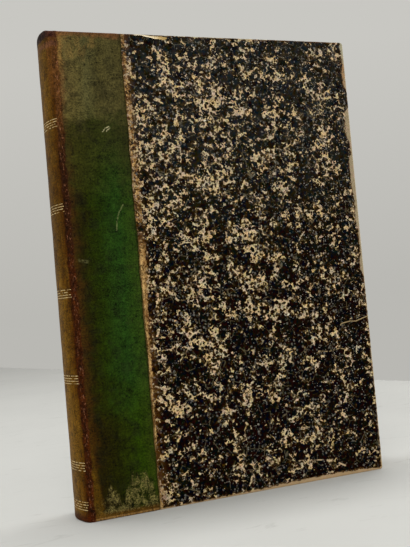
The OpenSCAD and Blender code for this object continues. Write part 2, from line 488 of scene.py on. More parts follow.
def face_rows():
    """Heights of the skin's rows between its two folds, with rows at each tooled line."""
    tooled = [low + d for low in line_starts() for d in (-0.06, 0.04, 0.41, 0.51)]
    plain = [z for z in np.arange(2.4, HEIGHT - 2.3, 1.45)
             if min(abs(z - t) for t in tooled) > 0.45]
    return np.array(sorted([*plain, HEIGHT - 2.4, *tooled]))


def pare(x):
    """Depth of the leather's outer face where it is pared down under the paper."""
    return np.interp(x, [PARE_FROM, STRIP_W, PARE_TO], [0, PARE_DEPTH, LEATHER_T - 0.03])


def skin_layer(columns, outer):
    """Heights and depths of one layer of the skin, a row of points for each column."""
    ends, caps = fold_depths(columns[:, 3])
    rows = face_rows()
    heights, depths = [], []
    for u, end, cap in zip(columns[:, 3], ends, caps):
        on_paper = u - JOINT_U > STRIP_W
        face = pare(u - JOINT_U) if outer else LEATHER_T
        low = (0.32 if on_paper else 0.0) if outer else LEATHER_T
        turned = 0.0 if outer else (0.05 if on_paper else 0.4)
        end, cap = max(end - turned, face + 0.02), max(cap - turned, face + 0.02)
        on_spine = u < JOINT_U - 1
        rounding = (0.8, 1.6) if on_spine else (0.6, 0.75)
        fold = np.array(fold_path(end, cap, face, low, *rounding))
        head = np.array(fold_path(end, cap, face, low, *rounding, cap_rise(u) * on_spine))
        height = np.concatenate([fold[:, 0], rows, HEIGHT - head[::-1, 0]])
        depth = np.concatenate([fold[:, 1], np.full(len(rows), face), head[::-1, 1]])
        heights.append(height)
        depths.append(depth)
    return np.array(heights), np.array(depths)


def skin_relief(columns, heights, side):
    """Inward depth of joint crease, tooled lines, cap creases and general unevenness."""
    u = columns[:, 3][:, None]
    x = u - JOINT_U
    relief = 0.05 + 0.05 * wobble(side * u, heights, 3, 14, 45)
    relief += 0.025 * wobble(side * u, heights, 4, 4, 11)
    relief += 0.16 * np.exp(-((x - 0.3) / 0.6) ** 2)
    worn = 0.06 * wobble(side * u, heights, 5, 1.5, 4)
    relief += np.clip(worn, 0, 1) * np.exp(-((x - 0.2) / 2.2) ** 2)
    tooled = np.zeros(heights.shape, bool)
    for low in line_starts():
        tooled |= (heights > low) & (heights < low + LINE_W)
    relief += np.where(tooled & (u < LINE_REACH), 0.1, 0)
    slant = np.sin((side * u + heights * 1.3) * 1.9 + wobble(u, heights, 6, 6, 14))
    at_cap = ease(np.abs(heights - HEIGHT / 2), HEIGHT / 2 - 9, HEIGHT / 2 - 2)
    relief += 0.1 * np.clip(slant, 0, 1) ** 3 * at_cap * (x < -2)
    return relief


def lay_skin(columns, heights, depths, side):
    """Points of a layer on one side of the book; side is 1 for the front and -1 for the back."""
    x = columns[:, 0][:, None]
    y = columns[:, 1][:, None]
    a = columns[:, 2][:, None]
    px = x + depths * np.cos(a)
    py = (y + depths * np.sin(a)) * side
    return np.stack([px, py, heights], -1)


def unrolled_height(heights, depths):
    """Height along the leather, which runs on past 0 and the book's height at the folds."""
    step = np.hypot(np.diff(heights, axis=1), np.diff(depths, axis=1))
    along = np.concatenate([np.zeros((len(heights), 1)), np.cumsum(step, axis=1)], 1)
    middle = heights.shape[1] // 2
    return along - along[:, middle:middle + 1] + heights[:, middle:middle + 1]


def leather_skin(name, side):
    """Closed sheet of leather over half the spine and one cover's strip."""
    columns = leather_columns()
    sheets, rests = [], []
    for outer in (True, False):
        heights, depths = skin_layer(columns, outer)
        unrolled = unrolled_height(heights, depths)
        if outer:
            on_face = np.zeros(heights.shape[1])
            on_face[FOLD_ROWS:-FOLD_ROWS] = 1
            depths = depths + skin_relief(columns, heights, side) * on_face
        sheets.append(lay_skin(columns, heights, depths, side).reshape(-1, 3))
        u = np.broadcast_to(columns[:, 3][:, None] * side, heights.shape)
        inner = np.full(heights.shape, 0.0 if outer else 1.0)
        rests.append(np.stack([u, unrolled, inner], -1).reshape(-1, 3))
    faces = sheet_faces(*heights.shape, side < 0)
    return make_piece(name, np.concatenate(sheets), faces, 50, np.concatenate(rests))


# Marbled paper over a board

def paper_depth(x):
    """Depth of the paper's outer face, which climbs over the leather's pared edge."""
    return np.interp(x, [STRIP_W, PARE_TO], [PARE_DEPTH - PAPER_T, PAPER_OUT])


def paper_axes():
    """Places of the outer grid's columns and rows."""
    by_leather = [STRIP_W, 38, 38.5, 39, 39.5, 40.2, 41]
    by_fore = list(np.arange(178, COVER_W - CORNER_R + 0.1, 0.5))
    x = np.array(by_leather + list(np.linspace(42.5, 177, 90)) + by_fore)
    z = np.linspace(CORNER_R, HEIGHT - CORNER_R, 180)
    return x, z


def paper_loop(inset, x, z):
    """Outline along the tail, round the fore-edge and back along the head, at an inset."""
    reach = max(inset, CORNER_R)
    radius = max(CORNER_R - inset, 0)
    far = COVER_W - reach
    along = STRIP_W + (x - STRIP_W) * (far - STRIP_W) / (x[-1] - STRIP_W)
    up = reach + (z - z[0]) * (HEIGHT - 2 * reach) / (z[-1] - z[0])
    turns = np.linspace(-math.pi / 2, 0, CORNER_STEPS + 2)[1:-1]
    loop = [(px, reach - radius) for px in along]
    loop += [(far + radius * math.cos(a), reach + radius * math.sin(a)) for a in turns]
    loop += [(far + radius, pz) for pz in up]
    loop += [(far + radius * math.cos(a), HEIGHT - reach - radius * math.sin(a)) for a in turns[::-1]]
    loop += [(px, HEIGHT - reach + radius) for px in along[::-1]]
    return np.array(loop)


def edge_profile():
    """Insets and depths of the paper round a board's edge: outer and inner side."""
    r = 0.5
    rows = [(1.2, PAPER_OUT, 1.2, LEATHER_T), (r, PAPER_OUT, r, LEATHER_T)]
    for a in np.radians([30, 60, 90]):
        inset = r - r * math.sin(a)
        depth = PAPER_OUT + r - r * math.cos(a)
        rows.append((inset, depth, inset + PAPER_T * (1 - inset / r), max(depth, LEATHER_T + 0.02)))
    rows.append((0, 2.0, PAPER_T, 2.0))
    for a in np.radians([0, 30, 60, 90]):
        inset = r - r * math.cos(a)
        depth = TURN_FACE - r + r * math.sin(a)
        rows.append((inset, depth, inset + PAPER_T * (1 - inset / r), min(depth, BOARD_IN + 0.08)))
    inner = BOARD_IN + 0.08
    rows += [(3, TURN_FACE, 3, inner), (8, TURN_FACE, 8, inner), (TURN_IN, TURN_FACE, TURN_IN, inner)]
    return rows


def wear_margin(x, z, depth, side):
    """Distance in from the worn borders; below 0 the paper is rubbed away to the card."""
    heights, fore_w = zip(*(FRONT_FORE_WEAR if side > 0 else BACK_FORE_WEAR))
    places, tail_w = zip(*TAIL_WEAR)
    across = 0.55 * np.minimum(depth - PAPER_OUT, TURN_FACE - depth)
    from_fore = np.maximum(COVER_W - x, across)
    from_tail = np.maximum(z, across)
    from_head = np.maximum(HEIGHT - z, across)
    ragged = 0.22 * wobble(x, z, 11 + side, 5, 14) + 0.16 * wobble(x, z, 13 + side, 1.8, 4.5)
    fore = from_fore - np.interp(z, heights, fore_w)
    tail = from_tail - np.interp(x, places, tail_w)
    head = from_head - HEAD_WEAR
    corner = np.hypot(from_fore, np.minimum(from_tail, from_head)) - CORNER_WEAR
    return np.minimum.reduce([fore, tail, head, corner]) + ragged


def paper_sides(x, z, side):
    """Points and worn margins of the sheet's outer and inner face over the board."""
    gx, gz = np.meshgrid(x, z, indexing="ij")
    ragged = 0.22 * wobble(gz, gz * 0, 17 + side, 4, 30) * (1 - ease(gx, STRIP_W, STRIP_W + 4))
    uneven = 0.05 * wobble(gx, gz, 19 + side, 18, 60) + 0.03 * wobble(gx, gz, 23 + side, 5, 14)
    uneven *= ease(gx, STRIP_W, STRIP_W + 3)
    margin = wear_margin(gx, gz, PAPER_OUT, side)
    outer = paper_depth(gx) + 0.05 + np.abs(uneven) + 0.16 * (1 - ease(margin, -0.3, 0.3))
    points = [np.stack([gx + ragged, -(HALF_T - depth) * side, gz], -1).reshape(-1, 3)
              for depth in (outer, paper_depth(gx) + PAPER_T)]
    return points, [margin.ravel()] * 2


def paper_rim(x, z, inset, depth, side, outer):
    """Points and worn margins of one loop of the sheet round the board's edge."""
    loop = paper_loop(inset, x, z)
    deep = depth + (paper_depth(loop[:, 0]) - PAPER_OUT) * (1 - ease(depth, LEATHER_T, 2))
    margin = wear_margin(loop[:, 0], loop[:, 1], depth, side)
    if outer:
        rub = 1 - ease(margin, -0.3, 0.3)
        deep = deep + (0.05 + 0.14 * rub) * (1 - ease(depth, PAPER_OUT, 1.2))
    return np.stack([loop[:, 0], -(HALF_T - deep) * side, loop[:, 1]], -1), margin


def side_paper(name, side):
    """Closed sheet of paper from the leather's edge over the board and round its edges."""
    x, z = paper_axes()
    points, margins = paper_sides(x, z, side)
    size = len(x) * len(z)
    flip = side < 0
    faces = grid_faces(len(x), len(z), 0, flip) + grid_faces(len(x), len(z), size, not flip)
    index = np.arange(size).reshape(len(x), len(z))
    edge = [*index[:, 0], *[index[-1, 0]] * CORNER_STEPS, *index[-1, :]]
    edge += [*[index[-1, -1]] * CORNER_STEPS, *index[::-1, -1]]
    chains = [[edge, [i + size for i in edge]]]
    start = 2 * size
    for row in edge_profile():
        pair = []
        for inset, depth, outer in ((*row[:2], True), (*row[2:], False)):
            rim, margin = paper_rim(x, z, inset, depth, side, outer)
            points.append(rim)
            margins.append(margin)
            pair.append(list(range(start, start + len(rim))))
            start += len(rim)
        chains.append(pair)
    for (outer_a, inner_a), (outer_b, inner_b) in zip(chains, chains[1:]):
        faces += strip_faces(outer_a, outer_b, not flip)
        faces += strip_faces(inner_a, inner_b, flip)
    last_outer, last_inner = chains[-1]
    faces += strip_faces(last_outer, last_inner, not flip)
    tail = [[c[k][0] for c in chains[::-1]] for k in (0, 1)]
    head = [[c[k][-1] for c in chains] for k in (0, 1)]
    spine_edge = [tail[0] + list(index[0, 1:-1]) + head[0],
                  tail[1] + list(index[0, 1:-1] + size) + head[1]]
    faces += strip_faces(spine_edge[0], spine_edge[1], not flip)
    return make_piece(name, np.concatenate(points), faces, 45, margin=np.concatenate(margins))


def lifted_flake():
    """Torn tongue of the front paper that stands off the board at the head edge."""
    steps, rows = 26, 5
    points = []
    for inward in (0, FLAKE_T):
        for t in np.linspace(0, 1, steps):
            high = HEIGHT - 0.35 - 1.1 * t ** 2 + 0.12 * math.sin(9 * t)
            width = 0.35 + 1.5 * math.sin(math.pi * min(t * 0.62 + 0.02, 1)) ** 2
            width = (width + 0.12 * math.sin(23 * t)) * (1 - max(t - 0.93, 0) * 9)
            lift = 0.1 + FLAKE_LIFT * math.sin(math.pi * min(t * 1.1, 1)) ** 0.8
            for w in np.linspace(0, 1, rows):
                depth = PAPER_OUT - 0.06 - lift * w ** 1.5 + inward
                points.append((FLAKE_FROM + FLAKE_LENGTH * t, -(HALF_T - depth), high - width * w))
    return make_piece("front_lifted_flake", points, sheet_faces(steps, rows, False), 60)


# Leaves, bands and tooled lines

def leaf_levels(count=148, per_section=8):
    """Distances from the middle, and how far each crest and groove is set back."""
    rng = np.random.default_rng(29)
    widths = rng.uniform(0.8, 1.2, count)
    edges = np.concatenate([[0], np.cumsum(widths)]) / widths.sum()
    edges = (2 * edges - 1) * LEAVES_HALF
    section_back = rng.uniform(0, 0.16, count // per_section + 1)
    levels = [(edges[0], 0.05)]
    for i in range(count):
        back = section_back[i // per_section] + rng.uniform(0, 0.06)
        levels.append(((edges[i] + edges[i + 1]) / 2, back))
        ends_section = (i + 1) % per_section == 0
        if i < count - 1:
            levels.append((edges[i + 1], back + (0.3 if ends_section else 0.1)))
    levels.append((edges[-1], 0.05))
    return levels


def leaf_ring(y, back):
    """Outline of one leaf: along the tail, up the fore-edge, back along the head, down the fold."""
    fore = LEAF_W - FORE_HOLLOW + FORE_R - math.sqrt(FORE_R ** 2 - y ** 2) - back
    fanned = y * TIP_Y / LEAVES_HALF
    fold = FOLD_X - math.sqrt(FOLD_R ** 2 - fanned ** 2) + 0.02
    low, high = SQUARE + back * 0.6, LEAF_TOP - back * 0.6
    xs = [-0.15, 1, 3, *np.linspace(12, fore - 6, 12), fore - 0.6]
    zs = np.linspace(low + 0.6, high - 0.6, 26)
    ring = [(x, y, low) for x in xs] + [(fore - 0.15, y, low + 0.15)]
    ring += [(fore, y, z) for z in zs] + [(fore - 0.15, y, high - 0.15)]
    ring += [(x, y, high) for x in xs[::-1]]
    kept = len(ring)
    ring += [(-0.2, fanned, high), (fold, fanned, high)]
    ring += [(fold, fanned, z) for z in zs[::-4]]
    ring += [(fold, fanned, low), (-0.2, fanned, low)]
    return ring, kept


def text_block():
    """Stack of leaves with set back gatherings and a hollow fore-edge."""
    points, faces, rings = [], [], []
    for y, back in leaf_levels():
        ring, kept = leaf_ring(y, back)
        rings.append(list(range(len(points), len(points) + len(ring))))
        points += ring
    for first, second in zip(rings, rings[1:]):
        faces += tube_faces(first, second, True)
    for ring, step in ((rings[0], 1), (rings[-1], -1)):
        leaf, shoulder = ring[:kept], [ring[0], *ring[kept - 1:]]
        faces += [tuple(part[::step]) for part in (leaf, shoulder)]
    return make_piece("leaf_stack", points, faces, 30)


def head_band(name, low, up):
    """Sewn band round the leaves' fold, with the relief of its threads; up is 1 or -1."""
    half = math.asin((LEAVES_HALF - 0.6) / FOLD_R)
    turns = np.linspace(-half, half, 190)
    points, rest, faces = [], [], []
    sides = 14
    for t in turns:
        u = FOLD_R * t
        thread = 0.93 + 0.07 * abs(math.sin(math.pi * u / 0.42))
        for k in range(sides):
            a = 2 * math.pi * k / sides
            out = (FOLD_R - 1) + thread * math.cos(a)
            z = low + up * (1 + max(thread * math.sin(a), -0.97))
            points.append((FOLD_X - out * math.cos(t), -out * math.sin(t), z))
            rest.append((u, a, 0))
    rings = [range(i, i + sides) for i in range(0, len(points), sides)]
    for first, second in zip(rings, rings[1:]):
        faces += tube_faces(first, second, up > 0)
    faces += [tuple(rings[0])[::-up], tuple(rings[-1])[::up]]
    return make_piece(name, points, faces, 60, rest)


def spine_at(u, depth):
    """Place at a signed distance round the spine from its middle, below the leather's face."""
    side = math.copysign(1, u)
    run = abs(u)
    if run <= ARC_LEN:
        a = run / BACK_R
        return BACK_X - (BACK_R - depth) * math.cos(a), -side * (BACK_R - depth) * math.sin(a)
    a = SHOULDER_A + (run - ARC_LEN) / SHOULDER_R
    reach = SHOULDER_R - depth
    return SHOULDER_X - reach * math.cos(a), -side * (SHOULDER_Y + reach * math.sin(a))


def gilt_ribbons():
    """Worn gold of the tooled lines: thin strips that break off and narrow where it has gone."""
    points, faces = [], []
    u = np.linspace(-LINE_REACH, LINE_REACH, 130)
    for number, low in enumerate(line_starts()):
        wear = 0.55 * wobble(u, low, 31, 2, 8) + 0.6 * wobble(u, low * 7, 37 + number, 0.8, 3)
        wide = LINE_W * 0.44 * (1 - ease(wear, -0.1, 0.9))
        for run in np.split(np.arange(len(u)), np.where(wide < THINNEST_GILT)[0]):
            run = [i for i in run if wide[i] >= THINNEST_GILT]
            if len(run) < 3:
                continue
            rings = [range(len(points) + 4 * k, len(points) + 4 * k + 4) for k in range(len(run))]
            for i in run:
                for depth, side in ((0.05, -1), (0.05, 1), (0.12, 1), (0.12, -1)):
                    points.append((*spine_at(u[i], depth), low + LINE_W / 2 + side * wide[i]))
            for first, second in zip(rings, rings[1:]):
                faces += tube_faces(first, second)
            faces += [tuple(rings[0])[::-1], tuple(rings[-1])]
    return make_piece("gilt_lines", points, faces, 40)


def joint_paper(name, side):
    """Strip of endpaper folded into the joint, from the first leaf to the board."""
    outline = [(0.05, 4.25), (-0.02, 3.4), (-0.03, 2.4), (0.0, 1.5), (0.12, 1.02), (0.35, 0.85),
               (0.6, 0.82), (0.82, 0.88), (1.0, 1.1), (1.06, 1.6), (1.07, 2.6), (1.08, 3.6),
               (1.3, 4.0)]
    heights = np.linspace(SQUARE + 1.2, LEAF_TOP - 1.2, 60)
    points, rest = [], []
    for thick in (0, 0.1):
        for i, (x, depth) in enumerate(outline):
            ahead, behind = outline[min(i + 1, len(outline) - 1)], outline[max(i - 1, 0)]
            run, fall = ahead[0] - behind[0], ahead[1] - behind[1]
            length = math.hypot(run, fall)
            px, pd = x - thick * fall / length, depth + thick * run / length
            points += [(px, -(HALF_T - pd) * side, z) for z in heights]
            rest += [(i * 0.7, z, side) for z in heights]
    faces = sheet_faces(len(outline), len(heights), side < 0)
    return make_piece(name, points, faces, 60, rest)


# Materials

class Leather(Look):
    """Green leather gone brown at the joint and spine, faded khaki with painted sheen at the head,
    scuffed at the tail.
    """

    def __init__(self):
        super().__init__("worn_leather", Specular_IOR_Level=0.035)
        self.unrolled, self.v, self.inner = split(self.kept("rest", "Vector"))
        self.flat = vector(self.unrolled, self.v)
        self.u = calculate("ABSOLUTE", self.unrolled) - JOINT_U
        self.blots = noise(self.flat, 26, 4, 0.6)
        self.patches = noise(shift(self.flat, (40, 9, 3)), 6.5, 4, 0.65)
        self.grains = noise(self.flat, 1.1, 3, 0.65)
        self.fine = noise(shift(self.flat, (5, 5, 0)), 0.55, 2, 0.6)
        self.mottle = noise(scale(self.flat, (1, 0.45, 1)), 4.2, 5, 0.68)
        self.streaks = noise(scale(self.flat, (1.0, 0.14, 1)), 1.3, 3, 0.6)
        self.across = noise(scale(self.flat, (0.14, 1.0, 1)), 1.3, 3, 0.6)
        wander = noise(scale(self.flat, (0.2, 1, 1)), 9, 3, 0.6)
        sway = swing(wander, 1.5) + swing(self.patches, 1.2)
        self.off_joint = self.u + sway

    def moved(self, x, y):
        return shift(self.flat, (x, y, 0))

    def strip(self):
        """Colours over the board, from the joint to the paper."""
        ragged = self.u + swing(self.patches, 4.5)
        ragged += swing(self.grains, 1.2) + swing(self.blots, 5)
        green = ramp(ragged, 0, 40, [
            (0, "#3a2307"), (2.5, "#342205"), (4.5, "#271e03"), (7, "#1f1e01"), (11, "#1d2500"),
            (16, "#1c2b02"), (21, "#1d3308"), (27, "#1c360b"), (32, "#22370a"), (38, "#28380b")])
        low = ramp(ragged, 0, 40, [
            (0, "#3a2506"), (3, "#342003"), (6, "#1f1801"), (11, "#1e1c00"), (17, "#1b1f00"),
            (22, "#202a01"), (30, "#213301"), (38, "#283306")])
        olive = ramp(ragged, 0, 40, [
            (0, "#34270c"), (5, "#31300b"), (11, "#292b08"), (20, "#2c320c"), (28, "#2a320e"),
            (36, "#282c0d")])
        khaki = ramp(ragged, 0, 40, [
            (0, "#4f381b"), (1.5, "#5c4424"), (4, "#564a27"), (11, "#524a26"), (16, "#484425"),
            (22, "#423c1d"), (30, "#453f20"), (38, "#3f391b")])
        tall = self.v + (swing(self.blots, 26) + swing(self.patches, 12))
        colour = layers(green, [
            (band(tall, 84, 44), low),
            (band(tall, 168, 200), olive),
            (near(tall, 214, 5, 16) * band(self.patches, 0.38, 0.56) * 0.45, "#211e08"),
            # Khaki towards the head: faded leather, partly painted sheen of the light from above.
            (band(tall, 212, 236), khaki),
            (band(noise(self.moved(61, 12), 9, 5, 0.62, 0.5), 0.5, 0.66) * 0.42, "#15150a")])
        return self.strip_head(colour, tall)

    def strip_head(self, colour, tall):
        at_head = band(tall, 252, 266) * band(self.mottle, 0.42, 0.56) * below(self.u, 14, 30)
        rim = band(self.v + swing(self.patches, 3), 265.5, 269)
        return layers(colour, [
            (at_head * 0.75, mix(self.patches, "#634d26", "#7f6737")),
            (near(self.u, 1.6, 0.6, 2.4) * band(tall, 238, 254) * 0.6, "#7a5c2c"),
            (rim * 0.8, mix(self.mottle, "#3d2611", "#73492a"))])

    def tail_scuffs(self, colour):
        """Finish rubbed off in tongues that rise from the tail edge, and painted shade on the fold
        under it.
        """
        scuff = noise(self.moved(7, 5), 3.6, 7, 0.82, 0.5)
        peaks = noise(scale(self.moved(3, 4), (1, 0.3, 1)), 5, 4, 0.72)
        across = self.u + swing(self.blots, 9)
        tongues = near(across, 27, 2.5, 13) * 11 + near(across, 11.5, 0.5, 6) * 10
        reach = tongues + 8 + swing(peaks, 17)
        low = below(self.v - reach, -5, 2)
        pits = noise(self.moved(31, 2), 1.0, 3, 0.7)
        straw = mix(noise(self.moved(1, 9), 1.4, 3, 0.7), "#453d1e", "#8a7d48")
        margin = below(self.u + self.v * 0.13, 5.2, 8.2)
        return layers(colour, [
            (band(scuff, 0.57, 0.47) * low * (0.25 + band(pits, 0.6, 0.45) * 0.75) * 0.85, straw),
            (band(scuff, 0.49, 0.56) * below(self.v - reach, -2, 5) * 0.6, "#140d03"),
            (band(pits, 0.52, 0.6) * near(self.v, 6, 4, 9) * 0.6, "#1f1406"),
            (margin * band(self.v + swing(self.blots, 24), 54, 26) * 0.8, "#4d3608"),
            (below(self.v + swing(self.grains, 1.6), 2, 5), mix(self.patches, "#43270a", "#553d12")),
            (near(self.v, 0.9, 0.3, 0.9) * 0.6, "#8b6a3c"),
            # Painted shade: the fold under the tail edge is darkened like a contact shadow.
            (below(self.v, -0.3, 0.3), "#1c1005")])

    def spine(self):
        """Tan back, redder towards the joint."""
        colour = ramp(self.u + swing(self.patches, 2.2), -18, -2, [
            (-18, "#6f501f"), (-11, "#674811"), (-9, "#61430a"), (-7.5, "#5b3d06"), (-6, "#563805"),
            (-4, "#4a2b02"), (-2.5, "#432403")])
        rising = self.v + swing(self.blots, 20)
        return layers(colour, [
            (band(self.mottle, 0.49, 0.62) * 0.6, "#391f03"),
            (band(self.mottle, 0.48, 0.3) * 0.4, "#7d5f24"),
            (near(self.v, 178, 22, 50) * 0.45, "#3a2203"),
            (near(self.v + swing(self.patches, 16), 50, 8, 26) * 0.3, "#7d5a18"),
            (band(self.v, 222, 244) * below(self.u, -9, -5) * 0.4, "#4a340e"),
            (band(rising, 226, 244) * 0.55 * band(self.u, -8, -5), "#65401a")])

    def joint(self):
        """Dark flaking line where the cover bends, and its share at a place."""
        small = noise(scale(self.flat, (1, 0.5, 1)), 1.8, 4, 0.72)
        low = mix(band(small, 0.36, 0.6), "#431d04", "#2a1001")
        high = mix(band(small, 0.36, 0.62), "#5f3c1a", "#3e2307")
        rising = self.v + swing(self.blots, 34)
        colour = mix(band(rising, 196, 232), low, high)
        flakes = noise(scale(self.flat, (1.0, 0.36, 1)), 0.95, 4, 0.78, 1.0)
        flaked = band(flakes, 0.56, 0.64) * near(self.off_joint, -0.4, 0.6, 2.0)
        rosy = mix(noise(self.flat, 2.4, 2), "#93694a", "#84513c")
        colour = mix(near(self.v, 178, 24, 44) * 0.6, colour, "#1f0f03")
        return mix(flaked * 0.75, colour, rosy), near(self.off_joint, -0.9, 1.3, 2.7)

    def caps(self, colour):
        """Near black fold over the head of the spine, and a red brown one at the tail."""
        creases = noise(scale(self.flat, (0.75, 1.1, 1)), 2.2, 4, 0.6, 2.0)
        cap = mix(band(self.u, -9, -3), "#030102", "#34170e")
        height = self.v + swing(self.patches, 3)
        on_spine = below(self.u, -2.5, 3)
        cap = mix(near(creases, 0.5, 0.01, 0.035) * 0.5, cap, "#6d4a3e")
        return layers(colour, [
            (near(height, 262.6, 0.8, 2.2) * on_spine * 0.45, "#6d4636"),
            (band(height, 265.2, 267) * on_spine * 0.98, cap),
            (below(self.v, 2, 6) * below(self.u, -2, 1.5) * 0.85, "#3b1503")])

    def marks(self, colour):
        """A nick, a curved scratch and a small scuff on the front, and scattered pale nicks."""
        x = self.unrolled - JOINT_U
        nick = strokes(x, self.v, [(22.6, 213.4), (24.2, 215.2), (26.4, 216.2)], 0.5)
        scratch = strokes(x, self.v, [(30.8, 171.8), (28.2, 167.6), (26.6, 163), (26, 157.6)], 0.6)
        gaps = band(self.grains, 0.36, 0.56)
        return layers(colour, [
            (most(nick, strokes(x, self.v, [(24.8, 213.6), (26.8, 215.4)], 0.55)) * gaps, "#a19a72"),
            (scratch * gaps * 0.55, "#73794a"),
            (strokes(x, self.v, [(3.8, 142), (7.8, 141)], 1.3) * gaps * 0.5, "#66633c"),
            (band(noise(self.moved(3, 70), 1.6, 3, 0.8), 0.72, 0.77) * 0.5, "#857d52")])

    def tone(self):
        """Uneven brightness of grain, smears and rubbed streaks."""
        smears = noise(scale(self.moved(17, 3), (1.1, 0.8, 1)), 3.4, 5, 0.7, 0.8)
        total = swing(self.streaks, 0.45) + swing(self.across, 0.4)
        total += swing(self.grains, 1.25) + swing(self.fine, 1.1)
        total += swing(smears, 1.0) + swing(self.blots, 0.3)
        return 1.0 + (total + swing(self.patches, 0.6))

    def relief(self, share):
        pebbles = cells(noise_vector(self.flat, 1.2, 0.25), 0.75, "SMOOTH_F1")
        total = pebbles * 0.35 + self.grains * 0.5
        shreds = noise_vector(scale(self.flat, (1.25, 0.6, 1)), 1.6, 0.7)
        cracks = below(cells(shreds, 1.5, "DISTANCE_TO_EDGE"), 0.02, 0.2)
        total = total - cracks * share * 1.1 + (self.streaks + self.across) * 0.2
        return total + self.mottle * 0.5

    def build(self):
        strip = self.tail_scuffs(self.strip())
        # Painted shade: a thin dark line on the leather along the marbled paper's edge.
        strip = mix(near(self.u, 37.2, 0.15, 0.8) * 0.5, strip, "#1c1802")
        colour = mix(band(self.u, -2.4, 0.4), self.spine(), strip)
        red, share = self.joint()
        tone = self.tone()
        colour = mix(1.0, self.caps(mix(share, colour, red)), vector(tone, tone, tone), "MULTIPLY")
        colour = mix(self.inner, self.marks(colour), "#6d5334")
        gloss = swing(self.patches, 0.12) + swing(self.grains, 0.1)
        return self.finish(colour, 0.5 + gloss, self.relief(share), 0.12)


